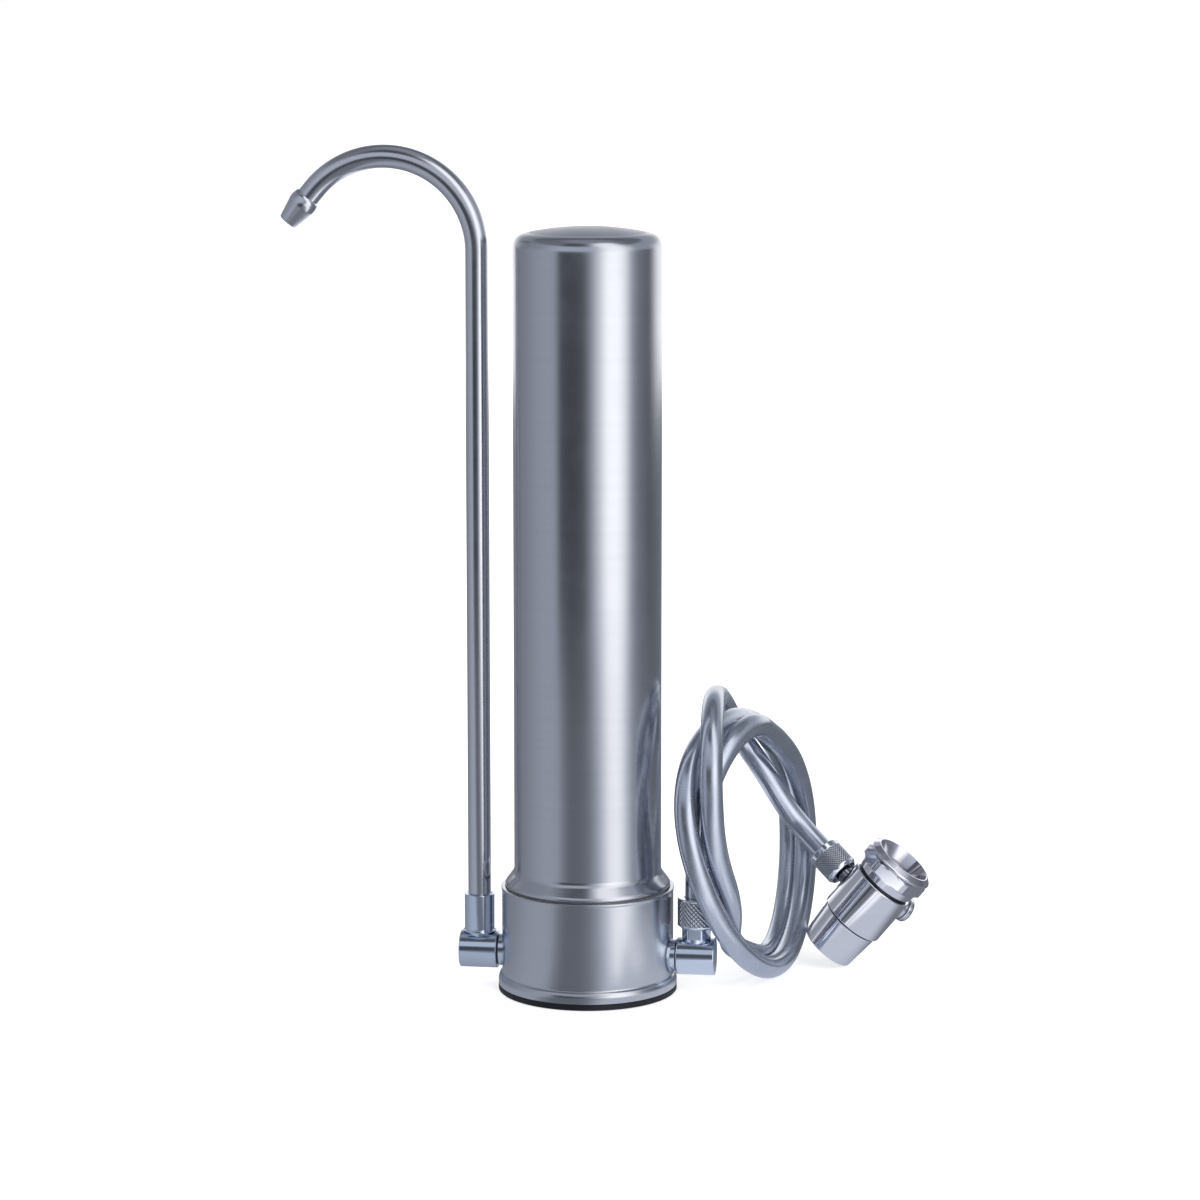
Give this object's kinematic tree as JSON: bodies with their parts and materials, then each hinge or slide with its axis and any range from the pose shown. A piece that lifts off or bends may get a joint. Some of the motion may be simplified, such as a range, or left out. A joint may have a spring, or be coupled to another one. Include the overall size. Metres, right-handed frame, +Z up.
{
  "type": "countertop water filter",
  "caption": "Countertop water filter: domed steel housing on a base cup, swivelling gooseneck spout, and a coiled hose that ends in a faucet diverter valve.",
  "frame": {"origin": "centre of the foot's underside, on the surface it stands on", "axes": "+Z up along the housing, +X towards the inlet fitting and hose, -X towards the spout, +Y towards the back"},
  "size_m": [0.2788, 0.138, 0.3668],
  "materials": {
    "foot_rubber": "matt black",
    "cup_steel": "finely brushed",
    "shell_steel": "finely brushed round the housing",
    "ring_steel": "machined",
    "screw_steel": "plain",
    "base_plastic": "white, matt",
    "seal_rubber": "matt black",
    "slip_plastic": "white, waxy",
    "candle_ceramic": "fine, unglazed",
    "candle_plastic": "white, matt",
    "carbon": "black, granular",
    "fitting_chrome": "polished",
    "spout_steel": "satin polished",
    "nut_chrome": "polished, knurled",
    "hose_skin": "satin silver grey",
    "brass_inner": "plain turned",
    "valve_chrome": "polished",
    "valve_dark": "polished, darker",
    "aerator_plastic": "white, matt",
    "screen_steel": "perforated",
    "nozzle_satin": "satin"
  },
  "bodies": {
    "root": {"foot_pad": "foot_rubber", "base_cup": "cup_steel", "base_manifold": "base_plastic", "base_screws": "screw_steel", "outlet_elbow": "fitting_chrome", "outlet_seal": "seal_rubber", "spout_socket": "fitting_chrome", "spout_orings": "seal_rubber", "inlet_elbow": "fitting_chrome", "inlet_seal": "seal_rubber", "inlet_stub": "fitting_chrome", "inlet_olive": "brass_inner", "inlet_ferrule": "brass_inner", "hose_riser": "hose_skin", "hose_coil": "hose_skin", "hose_end_run": "hose_skin", "valve_ferrule": "brass_inner", "valve_olive": "brass_inner", "valve_stub": "valve_dark", "valve_body": "valve_chrome", "valve_sleeve": "valve_chrome", "aerator_insert": "aerator_plastic", "aerator_screen": "screen_steel", "knob_gland": "valve_dark", "swivel_clip": "brass_inner"},
    "spout": {"spout_tube": "spout_steel", "spout_nozzle": "nozzle_satin"},
    "candle": {"candle_washer": "seal_rubber", "candle_mount": "candle_plastic", "ceramic_candle": "candle_ceramic", "carbon_core": "carbon"},
    "gasket": {"housing_gasket": "seal_rubber"},
    "slip_ring": {"slip_ring": "slip_plastic"},
    "housing": {"housing_shell": "shell_steel", "housing_thread_ring": "ring_steel"},
    "inlet_nut": {"inlet_nut": "nut_chrome"},
    "valve_nut": {"valve_nut": "nut_chrome"},
    "faucet": {"swivel_nut": "valve_chrome", "faucet_adapter": "valve_chrome", "faucet_washer": "seal_rubber", "inlet_screen": "screen_steel"},
    "diverter": {"diverter_spool": "brass_inner", "spool_seal": "seal_rubber", "diverter_knob": "valve_chrome"}
  },
  "joints": [
    {"name": "spout_swivel", "type": "hinge", "parent": "root", "child": "spout", "pos_m": [-0.0478, 0, 0.03], "axis": [0, 0, 1], "continuous": true},
    {"name": "candle_lift", "type": "slide", "parent": "root", "child": "candle", "axis": [0, 0, 1], "range_m": [0, 0.04]},
    {"name": "housing_lift", "type": "slide", "parent": "root", "child": "gasket", "axis": [0, 0, 1], "range_m": [0, 0.32]},
    {"name": "thread_rise", "type": "slide", "parent": "gasket", "child": "slip_ring", "axis": [0, 0, 1], "range_m": [0, 0.01251]},
    {"name": "housing_unscrew", "type": "hinge", "parent": "slip_ring", "child": "housing", "pos_m": [0, 0, 0.05], "axis": [0, 0, 1], "range_deg": [0, 1800]},
    {"name": "inlet_nut_turn", "type": "hinge", "parent": "root", "child": "inlet_nut", "pos_m": [0.0478, 0, 0.035], "axis": [0, 0, 1], "continuous": true},
    {"name": "valve_nut_turn", "type": "hinge", "parent": "root", "child": "valve_nut", "pos_m": [0.10272, 0.06305, 0.04478], "axis": [-0.6892, 0.4106, 0.597], "continuous": true},
    {"name": "faucet_swivel", "type": "hinge", "parent": "root", "child": "faucet", "pos_m": [0.12677, 0.05226, 0.03976], "axis": [0.6258, -0.078, 0.776], "continuous": true},
    {"name": "diverter_pull", "type": "slide", "parent": "root", "child": "diverter", "axis": [0.7227, 0.432, -0.5395], "range_m": [0, 0.004]}
  ],
  "couplings": [
    {"joint": "thread_rise", "follows": "housing_unscrew", "m_per_rad": 0.00039789}
  ]
}
